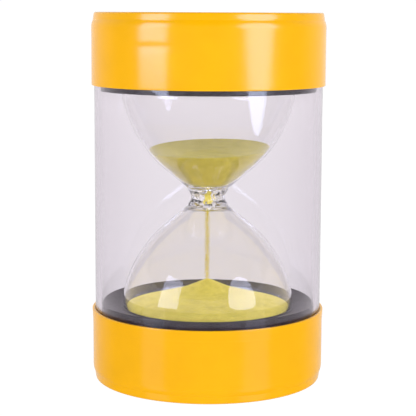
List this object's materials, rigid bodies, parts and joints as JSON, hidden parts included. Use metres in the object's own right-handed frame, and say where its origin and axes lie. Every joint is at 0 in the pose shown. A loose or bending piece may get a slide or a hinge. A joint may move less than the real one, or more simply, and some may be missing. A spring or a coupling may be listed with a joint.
{
  "type": "sand timer",
  "caption": "Large tumble-proof sand timer: a glass hourglass with yellow-green sand, held in foam inside a clear plastic barrel with soft yellow end caps. Turned over to time an activity.",
  "frame": {"origin": "centre of the bottom cap's outer face, on the timer's axis", "axes": "+Z along the timer's axis, from the bottom cap to the top cap; the shape is round about Z, so +X and +Y are free"},
  "size_m": [0.1006, 0.1006, 0.158],
  "materials": {
    "cap_plastic": "soft moulded vinyl, glossy, warm yellow",
    "barrel_plastic": "clear acrylic tube, polished, with a faint lavender tint",
    "bulb_glass": "clear blown glass, smooth",
    "foam": "black closed-cell foam, matte, with fine open cells on the cut faces",
    "sand": "fine dyed sand, dull yellow-green, matte",
    "plug_rubber": "grey rubber, matte",
    "glue": "dried clear glue, slightly cloudy"
  },
  "bodies": {
    "root": {"bottom_cap": "cap_plastic", "top_cap": "cap_plastic", "lower_glue_ring": "glue", "upper_glue_ring": "glue", "barrel": "barrel_plastic", "lower_foam_pad": "foam", "upper_foam_pad": "foam", "lower_foam_collar": "foam", "upper_foam_collar": "foam", "glass_vessel": "bulb_glass", "filling_plug": "plug_rubber", "upper_sand": "sand", "sand_stream": "sand", "lower_sand": "sand"}
  },
  "joints": []
}
